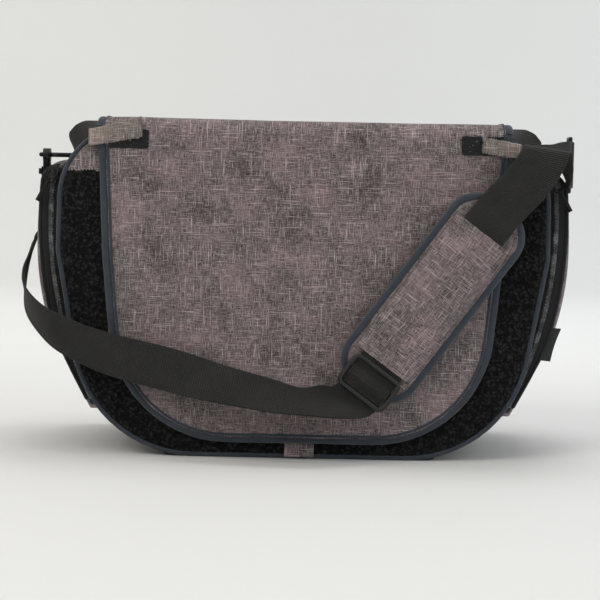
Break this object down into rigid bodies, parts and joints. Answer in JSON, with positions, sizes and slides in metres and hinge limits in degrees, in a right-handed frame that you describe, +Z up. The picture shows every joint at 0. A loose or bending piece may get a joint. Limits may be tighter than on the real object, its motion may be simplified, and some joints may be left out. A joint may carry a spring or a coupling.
{
  "type": "messenger pet carrier bag",
  "caption": "Soft shoulder carrier for a small pet: messenger flap over a mesh door, zipped end pockets, padded strap on snap hooks.",
  "frame": {"origin": "centre of the flat underside that the bag stands on", "axes": "+X along the bag's width, -Y towards the flap's front, +Z up"},
  "size_m": [0.4639, 0.205, 0.272],
  "materials": {
    "fleece": "black curly fleece",
    "heather_cloth": "grey-mauve linen-look polyester",
    "navy_binding": "rolled navy binding",
    "webbing": "ribbed black webbing",
    "black_tape": "black woven tape",
    "mesh": "black mesh",
    "lining": "black lining cloth",
    "bed_fleece": "grey fleece",
    "board": "stiff board",
    "pad_back": "padded mesh cloth",
    "dark_metal": "black zinc",
    "black_cord": "black cord",
    "black_plastic": "satin black acetal"
  },
  "bodies": {
    "bag": {"back_panel": "heather_cloth", "back_piping": "navy_binding", "base_board": "board", "base_cover": "black_tape", "bed_pad": "bed_fleece", "bottom_panel": "black_tape", "flap_top": "heather_cloth", "flap_top_piping": "navy_binding", "front_panel": "fleece", "front_piping": "navy_binding", "left_chape": "webbing", "left_end_panel": "heather_cloth", "left_end_pocket": "heather_cloth", "left_loop_patch": "black_tape", "left_pocket_piping": "navy_binding", "left_pocket_tape": "black_tape", "left_strap_ring": "black_plastic", "left_tab_root": "heather_cloth", "left_zip_chain": "black_tape", "right_chape": "webbing", "right_end_panel": "heather_cloth", "right_end_pocket": "heather_cloth", "right_loop_patch": "black_tape", "right_pocket_piping": "navy_binding", "right_pocket_tape": "black_tape", "right_strap_ring": "black_plastic", "right_tab_root": "heather_cloth", "right_zip_chain": "black_tape", "side_label": "black_tape", "top_panel": "lining"},
    "flap": {"flap_shell": "heather_cloth", "flap_lining": "lining", "flap_piping": "navy_binding"},
    "door": {"door_mesh": "mesh", "door_binding": "black_tape"},
    "bottom_flap_tab": {"bottom_tab": "heather_cloth"},
    "left_tab": {"left_corner_tab": "heather_cloth"},
    "right_tab": {"right_corner_tab": "heather_cloth"},
    "left_slider": {"left_zip_slider": "dark_metal"},
    "right_slider": {"right_zip_slider": "dark_metal"},
    "left_pull": {"left_zip_pull": "black_cord"},
    "right_pull": {"right_zip_pull": "black_cord"},
    "strap": {"strap_webbing": "webbing", "left_snap_hook": "black_plastic", "right_snap_hook": "black_plastic", "left_swivel_eye": "black_plastic", "right_swivel_eye": "black_plastic", "left_strap_loop": "webbing", "right_strap_loop": "webbing"},
    "left_trigger": {"left_hook_trigger": "black_plastic"},
    "right_trigger": {"right_hook_trigger": "black_plastic"},
    "pad": {"shoulder_pad": "pad_back", "pad_binding": "navy_binding", "pad_sleeve": "heather_cloth"},
    "adjuster": {"strap_adjuster": "black_plastic"}
  },
  "joints": [
    {"name": "strap_swing", "type": "hinge", "parent": "bag", "child": "strap", "pos_m": [0, 0, 0.242], "axis": [-1, 0, 0], "range_deg": [0, 150]},
    {"name": "flap_lift", "type": "hinge", "parent": "bag", "child": "flap", "pos_m": [0, -0.0901, 0.243], "axis": [-1, 0, 0], "range_deg": [0, 91]},
    {"name": "door_lift", "type": "hinge", "parent": "bag", "child": "door", "pos_m": [0, -0.082, 0.198], "axis": [-1, 0, 0], "range_deg": [0, 91]},
    {"name": "bottom_tab_drop", "type": "hinge", "parent": "bag", "child": "bottom_flap_tab", "pos_m": [0, -0.0856, 0.0016], "axis": [1, 0, 0], "range_deg": [0, 61]},
    {"name": "left_tab_peel", "type": "hinge", "parent": "bag", "child": "left_tab", "pos_m": [-0.162, -0.0929, 0.257], "axis": [0, 0, -1], "range_deg": [0, 75]},
    {"name": "left_zip_run", "type": "hinge", "parent": "bag", "child": "left_slider", "pos_m": [0.12, 0, 0.19], "axis": [0, -1, 0], "range_deg": [0, 22]},
    {"name": "left_pull_flip", "type": "hinge", "parent": "left_slider", "child": "left_pull", "pos_m": [-0.20227, -0.0781, 0.228], "axis": [-0.8829, 0, 0.4695], "range_deg": [0, 95]},
    {"name": "right_tab_peel", "type": "hinge", "parent": "bag", "child": "right_tab", "pos_m": [0.162, -0.0929, 0.257], "axis": [0, 0, 1], "range_deg": [0, 75]},
    {"name": "right_zip_run", "type": "hinge", "parent": "bag", "child": "right_slider", "pos_m": [-0.12, 0, 0.19], "axis": [0, 1, 0], "range_deg": [0, 22]},
    {"name": "right_pull_flip", "type": "hinge", "parent": "right_slider", "child": "right_pull", "pos_m": [0.20227, -0.0781, 0.228], "axis": [-0.8829, 0, -0.4695], "range_deg": [0, 95]},
    {"name": "left_trigger_slide", "type": "slide", "parent": "strap", "child": "left_trigger", "axis": [0, 0, -1], "range_m": [0, 0.004], "stiffness_N_per_m": 150},
    {"name": "right_trigger_slide", "type": "slide", "parent": "strap", "child": "right_trigger", "axis": [0, -1, 0], "range_m": [0, 0.004], "stiffness_N_per_m": 150},
    {"name": "pad_slide", "type": "slide", "parent": "strap", "child": "pad", "axis": [0.5906, 0, 0.807], "range_m": [0, 0.02]},
    {"name": "adjuster_slide", "type": "slide", "parent": "strap", "child": "adjuster", "axis": [-0.5906, 0, -0.807], "range_m": [0, 0.004]}
  ],
  "couplings": [
    {"joint": "flap_lift", "follows": "strap_swing", "ratio": 0.6},
    {"joint": "door_lift", "follows": "strap_swing", "ratio": 0.6},
    {"joint": "bottom_tab_drop", "follows": "strap_swing", "ratio": 0.4}
  ]
}
